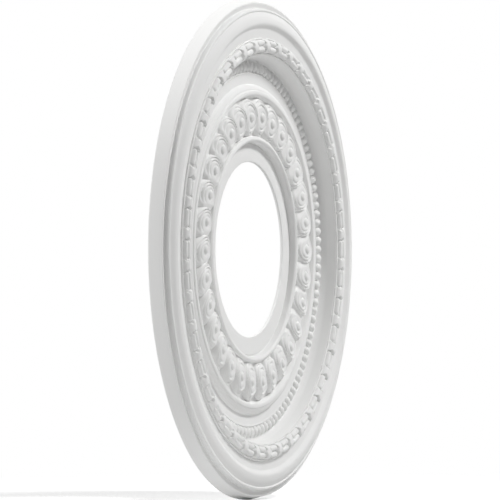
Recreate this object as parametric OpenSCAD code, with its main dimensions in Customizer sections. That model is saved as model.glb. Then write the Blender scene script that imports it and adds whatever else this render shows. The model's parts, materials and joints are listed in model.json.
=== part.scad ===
// Round ceiling rose: a one-piece moulding with a hole in the middle, a flat back and rings of
// ornament. The face looks along -Y, the back lies in the plane y = 0 and the origin is the
// centre of the hole in that plane.

/* [Overall] */
// Outside diameter
rose_d = 254; // [246:1:400]
// Diameter of the hole in the middle
hole_d = 89; // [50:1:97]
// Thickness at the edge of the hole
lip_t = 1.5; // [1:0.1:3]
// Thickness of the plain field between the ornament rings
field_t = 1.7; // [1:0.1:3]

/* [Outer rim] */
// Height of the outer wall
wall_h = 6.9; // [4:0.1:9]
// Amount by which the outer wall leans in
wall_lean = 1.9; // [0.5:0.1:3]
// Width of the ledge above the outer wall
ledge_w = 2.4; // [1:0.1:4]
// Height of the step from the ledge up to the broad band
step_h = 2.2; // [1:0.1:3]
// Width of that step
step_w = 1.4; // [0.5:0.1:3]
// Width of the broad band
band_w = 7.4; // [5:0.1:10]
// Height of the broad band's inner edge above the back
band_h = 11.3; // [9.5:0.1:14]
// Width of the gutter between the broad band and the reed ring
gutter_w = 6.5; // [4:0.1:8]
// Depth of that gutter below the broad band
gutter_deep = 2.1; // [0.5:0.1:3]

/* [Reed ring] */
// Width of the reed ring
reed_ring_w = 8.6; // [7:0.1:11]
// Height of the reed ring's two rims above the back
rim_h = 10.1; // [9.6:0.1:12]
// Width of each rim
rim_w = 0.9; // [0.6:0.1:1.8]
// Depth of the sunk bed between the rims
reed_bed_deep = 0.6; // [0.4:0.1:1.2]
// Distance from one pair of reeds to the next, along the ring
reed_pitch = 15.5; // [14:0.1:20]
// Height of a reed above the sunk bed
reed_h = 2.4; // [1:0.1:3]
// Length of a reed from end to end
reed_len = 9.6; // [7:0.1:11]
// Width of the round tie between two pairs of reeds
tie_w = 4.8; // [2:0.1:5]
// Height of a tie above the sunk bed
tie_h = 3.1; // [1.5:0.1:3.5]

/* [Cove and beads] */
// Width of the hollow curve that falls from the reed ring to the beads
cove_w = 2.6; // [1.5:0.1:5]
// Width of the bed that the beads lie in
bead_bed_w = 6.2; // [5:0.1:8]
// Thickness at the bed of the beads
bead_bed_t = 1.2; // [1:0.1:3]
// Diameter of a bead
bead_d = 4.3; // [3:0.1:4.6]
// Height of a bead above its bed
bead_h = 1.6; // [1:0.1:2]
// Distance from one bead to the next, along the ring
bead_pitch = 4.67; // [4.65:0.01:7]

/* [Middle moulding] */
// Width of the rounded outer step of the middle moulding
ovolo_w = 2.8; // [1.5:0.1:4]
// Height of that step above the back
ovolo_h = 4.2; // [3:0.1:5]
// Width of the ridge inside it
ridge_w = 4.4; // [3:0.1:6]
// Height of the ridge above the back
ridge_h = 5.2; // [4.6:0.1:7]

/* [Scroll ring] */
// Width of the scroll ring
scroll_w = 18.6; // [14:0.1:22]
// Thickness at the floor of the scroll ring
scroll_floor_t = 2.6; // [2:0.1:4]
// Height of the scrolls above that floor
scroll_h = 3.7; // [1.5:0.1:4.5]
// Width of a scroll at that floor
scroll_body_w = 13; // [6:0.1:13.5]
// Distance from one scroll to the next, along the middle of the ring
scroll_pitch = 14; // [12:0.1:20]
// Angle by which a scroll leans away from the radial line
scroll_lean = 18; // [0:1:25]
// Width of the raised eye on a scroll
eye_w = 3.4; // [1:0.1:5]
// Height of the eye above the scroll
eye_h = 0.6; // [0.2:0.1:1]

/* [Inner ring] */
// Width of the round ring inside the scrolls
torus_w = 4; // [3:0.1:5]
// Height of that ring above the back
torus_h = 5.3; // [4:0.1:7]
// Width of the flat flange from the ring to the hole
flange_w = 9.5; // [6:0.1:14]

/* [Hidden] */

rose_r = rose_d / 2;
hole_r = hole_d / 2;

// Radii counted inwards from the rim
ledge_r = rose_r - wall_lean;
step_r = ledge_r - ledge_w;
band_r = step_r - step_w;
band_in_r = band_r - band_w;
reed_out_r = band_in_r - gutter_w;
reed_in_r = reed_out_r - reed_ring_w;
bead_bed_r = reed_in_r - cove_w;
field_r = bead_bed_r - bead_bed_w;

// Radii counted outwards from the hole
torus_r = hole_r + flange_w;
scroll_r = torus_r + torus_w;
ridge_r = scroll_r + scroll_w;
ovolo_r = ridge_r + ridge_w;
field_in_r = ovolo_r + ovolo_w;

// Steps along each curved stretch of the outline
curve_steps = 5;
// Width of the sunk bed between the reed ring's rims, its level and its middle
reed_bed_w = reed_ring_w - 2 * rim_w;
reed_bed_h = rim_h - reed_bed_deep;
reed_mid_r = (reed_out_r + reed_in_r) / 2;

// Points from one point to another along a shallow arc that bulges to the left by rise
function bow(a, b, rise) =
    let (d = b - a, len = norm(d), side = [-d[1], d[0]] / len)
    [for (i = [0:curve_steps]) let (t = i / curve_steps) a + d * t + side * 4 * rise * t * (1 - t)];

// Radius of the ball whose cap is half_w wide each way and h high
function cap_r(half_w, h) = (half_w * half_w + h * h) / (2 * h);

// Half of the cross-section, as distance from the axis and height above the back
module outline() {
    polygon(concat(
        [[hole_r, 0], [rose_r, 0]],
        bow([ledge_r, wall_h], [step_r, wall_h], -0.3),
        bow([step_r - step_w / 3, wall_h + step_h], [band_r, wall_h + step_h], -0.2),
        bow([band_r - 0.4, wall_h + step_h + 0.2], [band_in_r, band_h], -0.5),
        bow([band_in_r - 0.3, band_h - 0.3], [band_in_r - gutter_w * 0.35, band_h - gutter_deep], 0.5),
        [[reed_out_r, band_h - gutter_deep], [reed_out_r - 0.3, rim_h - 0.1],
         [reed_out_r - rim_w, rim_h], [reed_out_r - rim_w - 0.2, reed_bed_h],
         [reed_in_r + rim_w + 0.2, reed_bed_h], [reed_in_r + rim_w, rim_h],
         [reed_in_r + 0.3, rim_h], [reed_in_r, rim_h - 0.3]],
        bow([reed_in_r - 0.2, rim_h - 1], [bead_bed_r, bead_bed_t], 0.9),
        [[field_r, bead_bed_t], [field_r - 0.5, field_t], [field_in_r, field_t]],
        bow([field_in_r - 0.3, field_t + 0.9], [ovolo_r, ovolo_h], -0.3),
        bow([ovolo_r - 0.5, ridge_h - 0.5], [ridge_r + 1.2, ridge_h - 0.7], -0.5),
        [[ridge_r, scroll_floor_t], [scroll_r, scroll_floor_t]],
        bow([scroll_r - 0.2, torus_h - 1.2], [torus_r + 0.3, torus_h - 1.2], -1.2),
        [[torus_r, lip_t + 0.3], [torus_r - 0.4, lip_t], [hole_r, lip_t]]));
}

// The plain turned body
module turned_body() {
    rotate_extrude($fn = 360) outline();
}

// A round bar along the Z axis with a ball at each end, long from tip to tip
module round_bar(bar_r, long) {
    reach = long / 2 - bar_r;
    rotate_extrude($fn = 24) intersection() {
        union() {
            translate([0, reach]) circle(bar_r, $fn = 48);
            translate([0, -reach]) circle(bar_r, $fn = 48);
            translate([0, -reach]) square([bar_r, 2 * reach]);
        }
        translate([0, -long / 2]) square([bar_r, long]);
    }
}

// A reed lies along the ring, so that half its width each way is half_w where it meets the bed
module reed(at_r, half_w) {
    bar_r = cap_r(half_w, reed_h);
    translate([at_r, 0, reed_bed_h + reed_h - bar_r]) rotate([90, 0, 0]) round_bar(bar_r, reed_len);
}

// A tie lies across the ring, from rim to rim
module tie() {
    bar_r = cap_r(tie_w / 2, tie_h);
    translate([reed_mid_r, 0, reed_bed_h + tie_h - bar_r])
        rotate([0, 90, 0]) round_bar(bar_r, reed_bed_w + rim_w);
}

// Pairs of reeds side by side, with a tie between each two pairs
module reeds() {
    count = round(2 * PI * reed_mid_r / reed_pitch);
    half_w = reed_bed_w * 0.235;
    for (i = [0:count - 1]) rotate(360 * i / count) {
        reed(reed_mid_r + reed_bed_w / 4, half_w);
        reed(reed_mid_r - reed_bed_w / 4, half_w);
        rotate(180 / count) tie();
    }
}

// A bead is the cap of a ball, rooted a little below its bed
module bead() {
    ball_r = cap_r(bead_d / 2, bead_h);
    root = bead_bed_t / 3;
    rotate_extrude($fn = 24) intersection() {
        translate([0, bead_h - ball_r]) circle(ball_r, $fn = 48);
        translate([0, -root]) square([ball_r, root + bead_h]);
    }
}

// The row of beads
module beads() {
    mid_r = (bead_bed_r + field_r) / 2;
    count = floor(2 * PI * mid_r / bead_pitch);
    for (i = [0:count - 1]) rotate(360 * i / count) translate([mid_r, 0, bead_bed_t]) bead();
}

// One scroll along the X axis: a sunk round bar, with the cap of a ball on it for its eye
module scroll(mid_r) {
    bar_r = cap_r(scroll_body_w / 2, scroll_h);
    eye_r = cap_r(eye_w / 2, eye_h);
    long = scroll_w - scroll_body_w + 2 * bar_r;
    translate([mid_r, 0, scroll_floor_t + scroll_h]) {
        translate([0, 0, -bar_r]) rotate([0, 90, -scroll_lean]) round_bar(bar_r, long);
        translate([0, 0, eye_h - eye_r]) sphere(eye_r, $fn = 24);
    }
}

// The ring of scrolls, cut off inside the floor
module scrolls() {
    mid_r = (scroll_r + ridge_r) / 2;
    count = round(2 * PI * mid_r / scroll_pitch);
    intersection() {
        union() {
            for (i = [0:count - 1]) rotate(360 * i / count) scroll(mid_r);
        }
        translate([0, 0, scroll_floor_t / 2]) cylinder(r = rose_r, h = 4 * scroll_h, $fn = 96);
    }
}

module ceiling_rose() {
    color("white") rotate([90, 0, 0]) union() {
        turned_body();
        reeds();
        beads();
        scrolls();
    }
}

ceiling_rose();
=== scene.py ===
import json
import math

import bpy
import numpy as np
from bpy.props import FloatProperty, FloatVectorProperty, IntProperty, PointerProperty
from mathutils import Matrix, Vector


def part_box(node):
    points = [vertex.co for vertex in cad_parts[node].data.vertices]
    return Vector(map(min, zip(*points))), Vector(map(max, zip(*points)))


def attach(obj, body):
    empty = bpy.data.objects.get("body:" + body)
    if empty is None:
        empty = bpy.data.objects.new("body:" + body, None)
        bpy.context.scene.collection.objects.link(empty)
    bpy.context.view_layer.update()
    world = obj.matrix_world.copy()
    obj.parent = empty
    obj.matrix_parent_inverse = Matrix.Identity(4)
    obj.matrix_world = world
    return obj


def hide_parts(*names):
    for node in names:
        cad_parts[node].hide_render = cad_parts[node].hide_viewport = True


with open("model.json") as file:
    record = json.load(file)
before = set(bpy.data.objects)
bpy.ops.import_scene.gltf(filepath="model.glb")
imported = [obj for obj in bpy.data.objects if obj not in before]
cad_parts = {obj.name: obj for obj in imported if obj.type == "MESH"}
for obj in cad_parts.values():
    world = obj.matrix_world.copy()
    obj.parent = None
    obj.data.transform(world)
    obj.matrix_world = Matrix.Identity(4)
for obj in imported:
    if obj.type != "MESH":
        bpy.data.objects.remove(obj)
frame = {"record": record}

bl_info = {
    "name": "Ceiling Rose",
    "version": (1, 0, 0),
    "blender": (4, 5, 0),
    "location": "View3D > Sidebar > Rose",
    "description": "Builds a round moulded ceiling rose with reed, bead and scroll rings",
    "category": "Add Mesh",
}

MM = 0.001
NODE = "ceiling_rose"
SLOT = frame["record"]["materials"][0]["slot"]
BOX_LOW, BOX_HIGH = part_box(NODE)
HOLE = next(m for m in frame["record"]["mounts"] if m["kind"] == "bore")
# The shader and the colour of the slot's plain material, which comes with the frame
SHADER = "Principled BSDF"
WHITE = tuple(bpy.data.materials[SLOT].node_tree.nodes[SHADER].inputs["Base Color"].default_value)[:3]

# How finely the pieces are divided: ROWS from the inside of a ring outwards, STEPS round the axis
FILLET_STEPS = 5
LATHE_STEPS = 420
REED_ROWS = 44
REED_STEPS = 40
SCROLL_ROWS = 62
SCROLL_STEPS = 48
BEAD_SIDES = 14
BEAD_TIERS = 4

# Radius in metres of the circle that carries the body's outline round the axis
SWEEP_R = 1.0
# Points of two neighbouring units this close together become one
WELD = 0.002 * MM
# Edges sharper than this many degrees stay crisp
TURNED_SHARP = 40
CARVED_SHARP = 60

# Millimetres from the broad band's top down to the reed ring's hidden underside
REED_ROOT = 4.0
# Millimetres from the back to the scroll ring's hidden underside, and by which its sides are let in
SCROLL_BASE = 1.0
SCROLL_LET_IN = 0.4
# Depth to which a bead is let into its bed
BEAD_ROOT = 0.5 * MM

# Strength of the even light from all round
STUDIO_LEVEL = 0.19
# Lamps: name, degrees from straight in front towards -X, degrees above level, size in metres, watts.
# All of them stand at the same distance in metres.
LAMPS = (("overhead", -26, 48, 0.3, 12.0), ("rear", 122, 34, 0.6, 10.2))
LAMP_DISTANCE = 1.3

# Half of the floor's side in rose radii, the share of it where it starts to clear, and its glow
FLOOR_HALF = 3
FLOOR_CLEAR = 0.5
FLOOR_GLOW = 0.4

# The camera's direction and roll in degrees, and its distance and offsets in rose radii
CAMERA_TURN = 67.55
CAMERA_ROLL = -0.13
CAMERA_DISTANCE = 25
CAMERA_RIGHT = 0.0124
CAMERA_UP = -0.0019
# The camera's sensor width in millimetres, its lens as a multiple of that, and its reach in metres
SENSOR = 36
LENS = 12.504
CAMERA_REACH = 50


# ---------------------------------------------------------------- properties

def length(name, default_mm, description):
    """A length property whose default is given in millimetres."""
    return FloatProperty(name=name, description=description, default=default_mm * MM, min=0, unit="LENGTH")


def count(name, default, description):
    """A property for the number of like units round a ring."""
    return IntProperty(name=name, description=description, default=default, min=3)


def colour(name, default, description):
    """A colour property."""
    return FloatVectorProperty(
        name=name, description=description, default=default, subtype="COLOR", size=3, min=0, max=1)


class RoseSizes(bpy.types.PropertyGroup):
    """The rose's sizes. Heights are measured from the flat back."""
    rose_r: length("Outer radius", BOX_HIGH.x / MM, "From the centre to the back edge of the rim")
    hole_r: length("Hole radius", HOLE["dims"]["r_mm"], "Radius of the hole in the middle")
    lip_t: length("Lip thickness", HOLE["dims"]["length_mm"], "Thickness at the edge of the hole")
    field_t: length("Field thickness", 1.7, "Thickness of the plain field")
    wall_h: length("Wall height", 6.9, "Height of the outer wall")
    band_h: length("Band height", 11.3, "Height of the broad band's inner edge")
    reed_out_r: length("Reed ring outer radius", 107.4, "Outer edge of the reed ring")
    reed_in_r: length("Reed ring inner radius", 98.8, "Inner edge of the reed ring")
    reed_rim_h: length("Reed rim height", 10.1, "Height of the reed ring's two rims")
    reed_rim_w: length("Reed rim width", 0.9, "Width of each of those rims")
    reed_bed_deep: length("Reed bed depth", 0.6, "Depth of the bed between the rims")
    reed_h: length("Reed height", 2.4, "Height of a reed above the bed")
    reed_len: length("Reed length", 9.8, "Length of a reed from end to end")
    tie_w: length("Tie width", 7.2, "Width of the tie between two pairs of reeds, at its foot")
    tie_h: length("Tie height", 3.0, "Height of a tie above the bed")
    bead_bed_t: length("Bead bed thickness", 1.2, "Thickness at the bed of the beads")
    bead_r: length("Bead row radius", 92.9, "Radius of the circle through the beads' centres")
    bead_len: length("Bead length", 5.7, "Length of a bead, from the cove to the field")
    bead_w: length("Bead width", 4.4, "Width of a bead along the row")
    bead_h: length("Bead height", 2.1, "Height of a bead above its bed")
    ridge_h: length("Ridge height", 5.2, "Height of the middle moulding's ridge")
    scroll_out_r: length("Scroll ring outer radius", 76.8, "Outer edge of the scroll ring")
    scroll_in_r: length("Scroll ring inner radius", 57.8, "Inner edge of the scroll ring")
    scroll_floor: length("Scroll floor", 2.5, "Thickness at the floor of the scroll ring")
    scroll_h: length("Scroll height", 4.0, "Height of a scroll above its floor")
    scroll_tilt: length("Scroll tilt", 2.0, "Amount by which a scroll's low side dips under the next one")
    scroll_len: length("Scroll length", 20.4, "Length of a scroll from end to end")
    scroll_w: length("Scroll width", 14.6, "Twice the distance from a scroll's eye to its raised side")
    eye_w: length("Eye width", 4.4, "Width of the raised eye of a scroll")
    torus_h: length("Inner ring height", 5.3, "Height of the round ring inside the scrolls")
    scroll_lean: FloatProperty(
        name="Scroll lean", description="Angle between a scroll and the radial line",
        default=math.radians(16), subtype="ANGLE")
    reeds: count("Reed pairs", 42, "Number of reed pairs round the ring")
    beads: count("Beads", 125, "Number of beads round the row")
    scrolls: count("Scrolls", 30, "Number of scrolls round the ring")


class RoseColours(bpy.types.PropertyGroup):
    """The colours of the rose and of its floor."""
    white: colour("White", WHITE, "Colour of the moulding")
    floor: colour("Floor", (0.8, 0.8, 0.8), "Colour of the floor")


# ---------------------------------------------------------------- shapes

def upright(r, angle, height):
    """The point at a radius, an angle from +X towards +Z, and a height out of the back."""
    return (r * math.cos(angle), -height, r * math.sin(angle))


def ease(x, low, high):
    """Smooth step from 0 at low to 1 at high."""
    t = np.clip((x - low) / (high - low), 0, 1)
    return t * t * (3 - 2 * t)


def hump(across):
    """A round hump: 1 in the middle, falling ever more steeply to 0 at 1 either side."""
    return np.sqrt(np.clip(1 - across ** 2, 0, 1))


def groove(across):
    """A soft groove: 1 in the middle, and all but gone at 2 either side."""
    return np.exp(-across ** 2)


def rounded(corners):
    """An outline of (r, height, fillet) corners with each corner rounded by its fillet.

    A fillet takes up no more than a set share of the straights on either side of its corner.
    """
    most = 0.45
    points = [Vector(c[:2]) for c in corners]
    line = []
    for i, here in enumerate(points):
        fillet = corners[i][2]
        back = points[i - 1] - here
        ahead = points[(i + 1) % len(points)] - here
        if fillet == 0:
            line.append(here)
            continue
        turn = math.pi - back.angle(ahead)
        cut = min(fillet * math.tan(turn / 2), back.length * most, ahead.length * most)
        start = here + back.normalized() * cut
        end = here + ahead.normalized() * cut
        for k in range(FILLET_STEPS + 1):
            t = k / FILLET_STEPS
            line.append((1 - t) ** 2 * start + 2 * t * (1 - t) * here + t * t * end)
    return line


def body_corners(s):
    """Corners of the turned body's cross-section in millimetres: round the front, then the back.

    Each is a radius, a height and a fillet, and is counted from the ring that it belongs to. The
    body's own floor lies under those of the reed ring and the scroll ring, which hide it.
    """
    gutter_deep = 2
    scroll_floor_under = 0.6
    ridge_moulding_w = 7.2
    rim = s.rose_r / MM
    hole = s.hole_r / MM
    reed_out = s.reed_out_r / MM
    reed_in = s.reed_in_r / MM
    band = s.band_h / MM
    wall = s.wall_h / MM
    gutter = band - gutter_deep
    field = s.field_t / MM
    bed = s.bead_bed_t / MM
    ridge = s.ridge_h / MM
    floor = s.scroll_floor / MM - scroll_floor_under
    scroll_out = s.scroll_out_r / MM
    scroll_in = s.scroll_in_r / MM
    ovolo = scroll_out + ridge_moulding_w
    torus = s.torus_h / MM
    lip = s.lip_t / MM
    outer_wall = [
        (rim - 0.4, 0, 0.3), (rim, 0.4, 0.5), (rim - 1.7, wall, 0.25), (rim - 2.3, wall + 0.25, 0.3)]
    ledge = [(rim - 4.2, wall - 0.3, 0.2), (rim - 4.8, wall - 0.3, 0.15)]
    step = [(rim - 5.1, wall + 2.3, 0.25), (rim - 5.9, wall + 2.6, 0.4)]
    broad_band = [(rim - 6.6, wall + 2.2, 0.5), (rim - 9.5, band - 0.5, 9.0), (rim - 12.7, band + 0.05, 2.2)]
    gutter_floor = [(rim - 14.9, gutter + 0.1, 1.6), (reed_out + 0.1, gutter - 0.1, 0.4)]
    reed_seat = [(reed_out - 0.5, gutter - 0.7, 0), (reed_in + 0.5, gutter - 0.7, 0)]
    cove = [(reed_in - 0.15, gutter + 0.2, 0.3), (reed_in - 0.9, bed + 3.6, 6.0)]
    bead_bed = [(reed_in - 2.4, bed + 0.1, 1.6), (reed_in - 8.7, bed, 0.2)]
    plain_field = [(reed_in - 9.1, field + 0.3, 0.3), (reed_in - 9.9, field, 0.4), (ovolo, field, 0.5)]
    ovolo_step = [
        (ovolo - 0.6, field + 1.5, 0.6), (ovolo - 2.2, ridge - 1.1, 0.8), (ovolo - 3.2, ridge - 0.9, 0.25)]
    ridge_top = [
        (ovolo - 3.7, ridge - 0.2, 0.5), (ovolo - 5.4, ridge, 1.2), (scroll_out + 0.9, ridge - 1.3, 0.8)]
    scroll_seat = [(scroll_out, floor, 0.3), (scroll_in, floor, 0.3)]
    inner_ring = [
        (scroll_in - 0.3, torus - 0.9, 0.8), (scroll_in - 1.9, torus, 1.6),
        (scroll_in - 3.3, torus - 1.0, 1.2)]
    flange = [
        (scroll_in - 3.5, lip - 0.4, 0.2), (scroll_in - 4.2, lip - 0.4, 0.2), (scroll_in - 4.4, lip, 0.2)]
    bore = [(hole + 0.3, lip, 0.3), (hole, lip - 0.3, 0.4), (hole, 0.3, 0.3), (hole + 0.3, 0, 0.3)]
    return (
        outer_wall + ledge + step + broad_band + gutter_floor + reed_seat + cove + bead_bed + plain_field
        + ovolo_step + ridge_top + scroll_seat + inner_ring + flange + bore)


def new_object(name, verts, edges=(), faces=()):
    """A mesh object at the origin, linked to the scene."""
    mesh = bpy.data.meshes.new(name)
    mesh.from_pydata([tuple(v) for v in verts], list(edges), list(faces))
    mesh.update()
    made = bpy.data.objects.new(name, mesh)
    bpy.context.scene.collection.objects.link(made)
    return made


def outline_object(name, line):
    """A closed outline in millimetres as edges in the XY plane, set back by the sweep's radius."""
    verts = [((p.x - SWEEP_R / MM) * MM, p.y * MM, 0) for p in line]
    edges = [(i, (i + 1) % len(verts)) for i in range(len(verts))]
    return new_object(name, verts, edges)


def sector_object(name, radii, units, steps, relief, base):
    """One unit of a ring: a relief with a wall inside and outside it and a flat base.

    Its two radial sides stay open, because they meet the next units there and are welded to them.
    relief(r, turn) takes arrays of radii in millimetres and of turns from the unit's middle in
    radians, and gives heights in millimetres.
    """
    turns = np.linspace(-math.pi / units, math.pi / units, steps + 1)
    r, turn = np.meshgrid(radii, turns, indexing="ij")
    height = relief(r, turn)
    rings = [np.full_like(turns, base)] + list(height) + [np.full_like(turns, base)]
    around = [radii[0]] + list(radii) + [radii[-1]]
    verts = []
    for ring_r, ring_h in zip(around, rings):
        for a, h in zip(turns, ring_h):
            verts.append(upright(ring_r * MM, a, h * MM))
    width = steps + 1
    rows = len(around)
    faces = []
    for i in range(rows):
        below = i * width
        above = ((i + 1) % rows) * width
        for j in range(steps):
            faces.append((below + j, above + j, above + j + 1, below + j + 1))
    return new_object(name, verts, faces=faces)


# ---------------------------------------------------------------- reliefs

def reed_relief(s):
    """Height of the reed ring: two rims, and between them pairs of reeds that end against broad ties.

    Below, off runs from -1 to 1 across the bed, and along from 0 amid a reed to 1 amid a tie.
    """
    out_r = s.reed_out_r / MM
    in_r = s.reed_in_r / MM
    rim_h = s.reed_rim_h / MM
    bed = rim_h - s.reed_bed_deep / MM
    reed_h = s.reed_h / MM
    tie_h = s.tie_h / MM
    mid = (out_r + in_r) / 2
    half = (out_r - in_r) / 2
    bed_half = half - s.reed_rim_w / MM
    unit_half = math.pi * mid / s.reeds
    reed_end = s.reed_len / MM / 2 / unit_half
    tie_end = s.tie_w / MM / 2 / unit_half
    # A reed's middle line and half width, across the bed, and the share it loses towards its end
    reed_off = 0.47
    reed_half = 0.5
    reed_taper = 0.16
    # The share of a reed that its end is rounded over, and how full its sides and its end are
    reed_round = 0.35
    side_full = 2.2
    end_full = 2.4
    # How far a tie spreads over the reeds, and the share of it from its foot to its flat top
    tie_spread = 0.18
    tie_slope = 0.45
    # A rim's inner slope, and the width and height of its rounded outer arris, in millimetres
    rim_slope = 0.15
    arris_w = 0.25
    arris_h = 0.5

    def relief(r, turn):
        along = np.abs(turn) * mid / unit_half
        off = (r - mid) / bed_half
        taper = 1 - reed_taper * np.clip(along / reed_end, 0, 1) ** 2
        end = np.clip((along - reed_end) / (reed_round * reed_end) + 1, 0, 1)
        height = np.full_like(r, bed)
        for side in (-1, 1):
            across = np.abs(off - side * reed_off) / (reed_half * taper)
            reed = np.clip(1 - across ** side_full - end ** end_full, 0, 1) ** 0.5
            height = np.maximum(height, bed + reed_h * reed)
        arch = rim_h - bed + (tie_h + bed - rim_h) * hump(np.clip(off, -1, 1))
        reach = (1 - along) / (tie_end * (1 + tie_spread * np.cos(math.pi * off / reed_off)))
        height = np.maximum(height, bed + arch * ease(-reach, -1, tie_slope - 1))
        edge = np.abs(r - mid)
        rim = bed + (rim_h - bed) * ease(edge, bed_half - rim_slope, bed_half + rim_slope)
        rim = rim - arris_h * ease(edge, half - arris_w, half)
        return np.maximum(height, rim)

    return relief


def scroll_relief(s):
    """Height of the scroll ring: tilted round coils that each overlap the next like fallen coins.

    Each coil has two grooves that follow its edge, and a raised eye in a sunk ring. Below, p runs
    from -1 to 1 along a coil, and q across it, from its dipping side to 1 at its raised side.
    """
    out_r = s.scroll_out_r / MM
    in_r = s.scroll_in_r / MM
    floor = s.scroll_floor / MM
    rise = s.scroll_h / MM
    tilt = s.scroll_tilt / MM
    mid = (out_r + in_r) / 2
    lean = s.scroll_lean
    long_half = s.scroll_len / MM / 2
    wide_half = s.scroll_w / MM / 2
    eye_half = s.eye_w / MM / 2
    # How many times wider the dipping side is than the raised one
    tail = 1.35
    # The tilt is taken up in two slopes: the share of it, and where across the coil it runs
    near_share = 0.4
    near_low, near_high = -0.8, 0.8
    far_share = 0.6
    far_low, far_high = -1.1, -0.6
    # Millimetres by which a coil's ends lie lower, and the share that its sides and ends round off
    end_drop = 1.3
    edge_round = 0.10
    end_round = 0.22
    # Two grooves: the share of the way from the eye to the edge, and the depth in millimetres
    grooves = ((0.60, 0.7), (0.80, 1.1))
    groove_w = 0.05
    # Across the coil, the grooves run out between these
    lined_low, lined_high = -0.8, -0.1
    # The sunk ring round the eye, in eye radii and millimetres deep, and the eye's own rise
    moat_at = 1.2
    moat_w = 0.25
    moat_deep = 0.3
    eye_rise = 0.9

    def one(r, turn):
        x = r - mid
        y = -mid * turn
        p = (x * math.cos(lean) - y * math.sin(lean)) / long_half
        q = (y * math.cos(lean) + x * math.sin(lean)) / wide_half
        ring = np.hypot(p, np.where(q > 0, q, q / tail))
        dip = 1 - near_share * ease(q, near_low, near_high) - far_share * ease(q, far_low, far_high)
        top = rise - tilt * dip - end_drop * p * p
        coil = top * np.clip((1 - ring) / (edge_round + end_round * p * p), 0, 1) ** 0.5
        lined = ease(q, lined_low, lined_high)
        for at, deep in grooves:
            coil = coil - deep * lined * groove((ring - at) / groove_w)
        eye = np.hypot(x, y) / eye_half
        coil = coil - moat_deep * groove((eye - moat_at) / moat_w) + eye_rise * hump(np.clip(eye, 0, 1))
        return floor + np.clip(coil, 0, None)

    def relief(r, turn):
        pitch = 2 * math.pi / s.scrolls
        height = one(r, turn)
        for side in (-1, 1):
            height = np.maximum(height, one(r, turn + side * pitch))
        return height

    return relief


def bead_object(s):
    """One bead: an oval cap on a short skirt that is rooted in the bed."""
    half = s.bead_w / 2
    cap = (half * half + s.bead_h * s.bead_h) / (2 * s.bead_h)
    bed = s.bead_bed_t
    stretch = s.bead_len / s.bead_w
    rings = [(half, -BEAD_ROOT)]
    for k in range(BEAD_TIERS):
        a = math.asin(half / cap) * (1 - k / BEAD_TIERS)
        rings.append((cap * math.sin(a), cap * math.cos(a) - cap + s.bead_h))
    verts = []
    for r, h in rings:
        for j in range(BEAD_SIDES):
            a = 2 * math.pi * j / BEAD_SIDES
            verts.append((s.bead_r + stretch * r * math.cos(a), -(bed + h), r * math.sin(a)))
    top = len(verts)
    verts.append((s.bead_r, -(bed + s.bead_h), 0))
    faces = [tuple(reversed(range(BEAD_SIDES)))]
    last = (len(rings) - 1) * BEAD_SIDES
    for low in range(0, last, BEAD_SIDES):
        high = low + BEAD_SIDES
        for j in range(BEAD_SIDES):
            k = (j + 1) % BEAD_SIDES
            faces.append((low + j, low + k, high + k, high + j))
    for j in range(BEAD_SIDES):
        faces.append((last + j, last + (j + 1) % BEAD_SIDES, top))
    return new_object("bead_row", verts, faces=faces)


# ---------------------------------------------------------------- node trees

def new_tree(name, sockets):
    """An empty geometry node tree with the given input sockets after its geometry."""
    tree = bpy.data.node_groups.new(name, "GeometryNodeTree")
    face = tree.interface
    face.new_socket("Geometry", in_out="INPUT", socket_type="NodeSocketGeometry")
    for label, kind in sockets:
        face.new_socket(label, in_out="INPUT", socket_type=kind)
    face.new_socket("Geometry", in_out="OUTPUT", socket_type="NodeSocketGeometry")
    return tree


def add_node(tree, kind, **values):
    """A node with some of its inputs set by name."""
    node = tree.nodes.new(kind)
    for label, value in values.items():
        node.inputs[label.replace("_", " ")].default_value = value
    return node


def add_maths(tree, operation):
    """A node that works on two numbers."""
    node = tree.nodes.new("ShaderNodeMath")
    node.operation = operation
    return node


def finish_tree(tree, geometry):
    """Ends a tree with Realize Instances, a weld and Set Material."""
    links = tree.links
    entry = tree.nodes["Group Input"]
    realize = add_node(tree, "GeometryNodeRealizeInstances")
    weld = add_node(tree, "GeometryNodeMergeByDistance", Distance=WELD)
    paint = add_node(tree, "GeometryNodeSetMaterial")
    leave = add_node(tree, "NodeGroupOutput")
    links.new(geometry, realize.inputs["Geometry"])
    links.new(realize.outputs["Geometry"], weld.inputs["Geometry"])
    links.new(weld.outputs["Geometry"], paint.inputs["Geometry"])
    links.new(entry.outputs["Material"], paint.inputs["Material"])
    links.new(paint.outputs["Geometry"], leave.inputs["Geometry"])


def ring_tree():
    """Repeats a unit round the rose's axis."""
    tree = new_tree("rose_ring", [("Count", "NodeSocketInt"), ("Material", "NodeSocketMaterial")])
    links = tree.links
    entry = add_node(tree, "NodeGroupInput")
    points = add_node(tree, "GeometryNodePoints")
    index = add_node(tree, "GeometryNodeInputIndex")
    share = add_maths(tree, "DIVIDE")
    turn = add_maths(tree, "MULTIPLY")
    turn.inputs[1].default_value = 2 * math.pi
    axis = add_node(tree, "ShaderNodeCombineXYZ")
    copies = add_node(tree, "GeometryNodeInstanceOnPoints")
    links.new(entry.outputs["Count"], points.inputs["Count"])
    links.new(index.outputs["Index"], share.inputs[0])
    links.new(entry.outputs["Count"], share.inputs[1])
    links.new(share.outputs["Value"], turn.inputs[0])
    links.new(turn.outputs["Value"], axis.inputs["Y"])
    links.new(points.outputs["Points"], copies.inputs["Points"])
    links.new(entry.outputs["Geometry"], copies.inputs["Instance"])
    links.new(axis.outputs["Vector"], copies.inputs["Rotation"])
    finish_tree(tree, copies.outputs["Instances"])
    return tree


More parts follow.
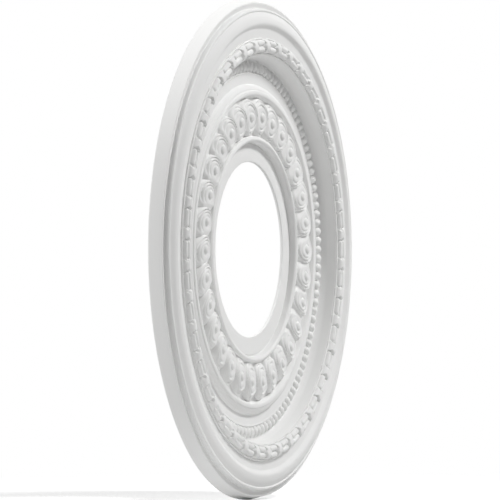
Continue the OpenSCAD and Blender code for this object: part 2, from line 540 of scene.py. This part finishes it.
def lathe_tree():
    """Turns an outline about the rose's axis."""
    tree = new_tree("rose_lathe", [("Steps", "NodeSocketInt"), ("Material", "NodeSocketMaterial")])
    links = tree.links
    entry = add_node(tree, "NodeGroupInput")
    outline = add_node(tree, "GeometryNodeMeshToCurve")
    path = add_node(tree, "GeometryNodeCurvePrimitiveCircle", Radius=SWEEP_R)
    sweep = add_node(tree, "GeometryNodeCurveToMesh")
    stand = add_node(tree, "GeometryNodeTransform", Rotation=(-math.pi / 2, 0, 0))
    links.new(entry.outputs["Geometry"], outline.inputs["Mesh"])
    links.new(entry.outputs["Steps"], path.inputs["Resolution"])
    links.new(path.outputs["Curve"], sweep.inputs["Curve"])
    links.new(outline.outputs["Curve"], sweep.inputs["Profile Curve"])
    links.new(sweep.outputs["Mesh"], stand.inputs["Geometry"])
    finish_tree(tree, stand.outputs["Geometry"])
    return tree


def bake_tree(piece, tree, **values):
    """Runs a tree on an object once and keeps the result as its plain mesh."""
    sockets = {i.name: i.identifier for i in tree.interface.items_tree if i.in_out == "INPUT"}
    modifier = piece.modifiers.new("Nodes", "NODES")
    modifier.node_group = tree
    for label, value in values.items():
        modifier[sockets[label]] = value
    ready = piece.evaluated_get(bpy.context.evaluated_depsgraph_get())
    mesh = bpy.data.meshes.new_from_object(ready)
    piece.modifiers.clear()
    piece.data = mesh


# ---------------------------------------------------------------- material

def moulding_material(colours):
    """The slot's own plain matt material, in the colour that is asked for."""
    material = bpy.data.materials[SLOT]
    material.node_tree.nodes[SHADER].inputs["Base Color"].default_value = (*colours.white, 1)
    return material


def settle(piece, sharp):
    """Shades a finished piece smoothly up to an angle, and ties it to the rose."""
    for polygon in piece.data.polygons:
        polygon.use_smooth = True
    piece.data.set_sharp_from_angle(angle=math.radians(sharp))
    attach(piece, "root")
    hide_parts(NODE)


# ---------------------------------------------------------------- operators

class ROSE_OT_body(bpy.types.Operator):
    """Turn the plain body of the rose from its outline"""
    bl_idname = "rose.body"
    bl_label = "Turned Body"

    def execute(self, context):
        s = context.scene.rose_sizes
        material = moulding_material(context.scene.rose_colours)
        piece = outline_object("rose_body", rounded(body_corners(s)))
        bake_tree(piece, lathe_tree(), Steps=LATHE_STEPS, Material=material)
        settle(piece, TURNED_SHARP)
        return {"FINISHED"}


class ROSE_OT_reed_ring(bpy.types.Operator):
    """Make the ring of tied reeds between its two rims"""
    bl_idname = "rose.reed_ring"
    bl_label = "Reed Ring"

    def execute(self, context):
        s = context.scene.rose_sizes
        material = moulding_material(context.scene.rose_colours)
        radii = np.linspace(s.reed_in_r / MM, s.reed_out_r / MM, REED_ROWS)
        base = s.band_h / MM - REED_ROOT
        piece = sector_object("reed_ring", radii, s.reeds, REED_STEPS, reed_relief(s), base)
        bake_tree(piece, ring_tree(), Count=s.reeds, Material=material)
        settle(piece, CARVED_SHARP)
        return {"FINISHED"}


class ROSE_OT_bead_row(bpy.types.Operator):
    """Make the row of beads at the foot of the cove"""
    bl_idname = "rose.bead_row"
    bl_label = "Bead Row"

    def execute(self, context):
        s = context.scene.rose_sizes
        material = moulding_material(context.scene.rose_colours)
        piece = bead_object(s)
        bake_tree(piece, ring_tree(), Count=s.beads, Material=material)
        settle(piece, CARVED_SHARP)
        return {"FINISHED"}


class ROSE_OT_scroll_ring(bpy.types.Operator):
    """Make the ring of leaning scrolls"""
    bl_idname = "rose.scroll_ring"
    bl_label = "Scroll Ring"

    def execute(self, context):
        s = context.scene.rose_sizes
        material = moulding_material(context.scene.rose_colours)
        inner = s.scroll_in_r / MM - SCROLL_LET_IN
        outer = s.scroll_out_r / MM + SCROLL_LET_IN
        radii = np.linspace(inner, outer, SCROLL_ROWS)
        piece = sector_object("scroll_ring", radii, s.scrolls, SCROLL_STEPS, scroll_relief(s), SCROLL_BASE)
        bake_tree(piece, ring_tree(), Count=s.scrolls, Material=material)
        settle(piece, CARVED_SHARP)
        return {"FINISHED"}


def soft_light(name, turn, rise, size, power):
    """A square area lamp that looks at the rose.

    turn is the angle in degrees from straight in front, towards -X, and rise the angle above level.
    """
    level = math.cos(math.radians(rise))
    away = Vector((-math.sin(math.radians(turn)) * level, -math.cos(math.radians(turn)) * level,
                   math.sin(math.radians(rise))))
    data = bpy.data.lights.new(name, "AREA")
    data.shape = "SQUARE"
    data.size = size
    data.energy = power
    lamp = bpy.data.objects.new(name, data)
    bpy.context.scene.collection.objects.link(lamp)
    lamp.location = LAMP_DISTANCE * away
    lamp.rotation_euler = (-away).to_track_quat("-Z", "Y").to_euler()


def stage_world(light_level):
    """A white backdrop for the camera and for gloss and glass, and an even soft light for the rest."""
    world = bpy.data.worlds.new("studio")
    bpy.context.scene.world = world
    world.use_nodes = True
    tree = world.node_tree
    links = tree.links
    tree.nodes.clear()
    path = add_node(tree, "ShaderNodeLightPath")
    seen_or_glossy = add_maths(tree, "MAXIMUM")
    backdrop = add_maths(tree, "MAXIMUM")
    level = add_node(tree, "ShaderNodeMapRange", To_Min=light_level, To_Max=1.0)
    back = add_node(tree, "ShaderNodeBackground", Color=(1, 1, 1, 1))
    out = add_node(tree, "ShaderNodeOutputWorld")
    links.new(path.outputs["Is Camera Ray"], seen_or_glossy.inputs[0])
    links.new(path.outputs["Is Glossy Ray"], seen_or_glossy.inputs[1])
    links.new(seen_or_glossy.outputs["Value"], backdrop.inputs[0])
    links.new(path.outputs["Is Transmission Ray"], backdrop.inputs[1])
    links.new(backdrop.outputs["Value"], level.inputs["Value"])
    links.new(level.outputs["Result"], back.inputs["Strength"])
    links.new(back.outputs["Background"], out.inputs["Surface"])


def floor_material(colour, clear_r):
    """A pale floor that glows a little to the camera, and turns all white towards a radius."""
    material = bpy.data.materials.new("pale_floor")
    material.use_nodes = True
    tree = material.node_tree
    links = tree.links
    tree.nodes.clear()
    path = add_node(tree, "ShaderNodeLightPath")
    matt = add_node(tree, "ShaderNodeBsdfDiffuse", Color=(*colour, 1))
    glow = add_node(tree, "ShaderNodeEmission")
    level = add_node(tree, "ShaderNodeMapRange", To_Max=FLOOR_GLOW)
    near = add_node(tree, "ShaderNodeAddShader")
    place = add_node(tree, "ShaderNodeTexCoord")
    distance = add_node(tree, "ShaderNodeVectorMath")
    distance.operation = "LENGTH"
    fade = add_node(tree, "ShaderNodeMapRange", From_Min=clear_r * FLOOR_CLEAR, From_Max=clear_r)
    fade.interpolation_type = "SMOOTHSTEP"
    seen = add_maths(tree, "MULTIPLY")
    white = add_node(tree, "ShaderNodeEmission")
    blend = add_node(tree, "ShaderNodeMixShader")
    out = add_node(tree, "ShaderNodeOutputMaterial")
    links.new(path.outputs["Is Camera Ray"], level.inputs["Value"])
    links.new(level.outputs["Result"], glow.inputs["Strength"])
    links.new(matt.outputs["BSDF"], near.inputs[0])
    links.new(glow.outputs["Emission"], near.inputs[1])
    links.new(place.outputs["Object"], distance.inputs[0])
    links.new(distance.outputs["Value"], fade.inputs["Value"])
    links.new(fade.outputs["Result"], seen.inputs[0])
    links.new(path.outputs["Is Camera Ray"], seen.inputs[1])
    links.new(seen.outputs["Value"], blend.inputs["Fac"])
    links.new(near.outputs["Shader"], blend.inputs[1])
    links.new(white.outputs["Emission"], blend.inputs[2])
    links.new(blend.outputs["Shader"], out.inputs["Surface"])
    return material


def stage_camera(r):
    """A long-lens camera level with the rose, which it sees at a slant; r is the rose's radius."""
    turn = math.radians(CAMERA_TURN)
    forward = Vector((math.sin(turn), math.cos(turn), 0))
    right = Vector((math.cos(turn), -math.sin(turn), 0))
    up = Vector((0, 0, 1))
    distance = CAMERA_DISTANCE * r
    data = bpy.data.cameras.new("camera")
    data.sensor_width = SENSOR
    data.lens = SENSOR * LENS
    data.clip_end = CAMERA_REACH
    camera = bpy.data.objects.new("camera", data)
    bpy.context.scene.collection.objects.link(camera)
    place = Matrix.Translation(-distance * forward + CAMERA_RIGHT * r * right + CAMERA_UP * r * up)
    facing = Matrix((right, up, -forward)).transposed().to_4x4()
    roll = Matrix.Rotation(math.radians(CAMERA_ROLL), 4, "Z")
    camera.matrix_world = place @ facing @ roll
    return camera


class ROSE_OT_stage(bpy.types.Operator):
    """Set the floor, the lights and the camera"""
    bl_idname = "rose.stage"
    bl_label = "Stage"

    def execute(self, context):
        scene = context.scene
        r = scene.rose_sizes.rose_r
        level = BOX_LOW.z
        half = FLOOR_HALF * r
        corners = [(-half, -half, level), (half, -half, level), (half, half, level), (-half, half, level)]
        floor = new_object("floor", corners, faces=[(0, 1, 2, 3)])
        floor.data.materials.append(floor_material(scene.rose_colours.floor, half))
        stage_world(STUDIO_LEVEL)
        for lamp in LAMPS:
            soft_light(*lamp)
        scene.camera = stage_camera(r)
        scene.view_settings.view_transform = "Standard"
        return {"FINISHED"}


class ROSE_PT_panel(bpy.types.Panel):
    """Lists the rose's sizes, colours and steps"""
    bl_label = "Ceiling Rose"
    bl_idname = "ROSE_PT_panel"
    bl_space_type = "VIEW_3D"
    bl_region_type = "UI"
    bl_category = "Rose"

    def draw(self, context):
        layout = self.layout
        for group in (context.scene.rose_sizes, context.scene.rose_colours):
            box = layout.box()
            for key in group.__annotations__:
                box.prop(group, key)
        for operator in OPERATORS:
            layout.operator(operator.bl_idname)


OPERATORS = (ROSE_OT_body, ROSE_OT_reed_ring, ROSE_OT_bead_row, ROSE_OT_scroll_ring, ROSE_OT_stage)
CLASSES = (RoseSizes, RoseColours, *OPERATORS, ROSE_PT_panel)


def register():
    for cls in CLASSES:
        bpy.utils.register_class(cls)
    bpy.types.Scene.rose_sizes = PointerProperty(type=RoseSizes)
    bpy.types.Scene.rose_colours = PointerProperty(type=RoseColours)


def unregister():
    del bpy.types.Scene.rose_colours
    del bpy.types.Scene.rose_sizes
    for cls in reversed(CLASSES):
        bpy.utils.unregister_class(cls)


def main():
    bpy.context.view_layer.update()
    register()
    bpy.ops.rose.body()
    bpy.ops.rose.reed_ring()
    bpy.ops.rose.bead_row()
    bpy.ops.rose.scroll_ring()
    bpy.ops.rose.stage()


if __name__ == "__main__":
    main()
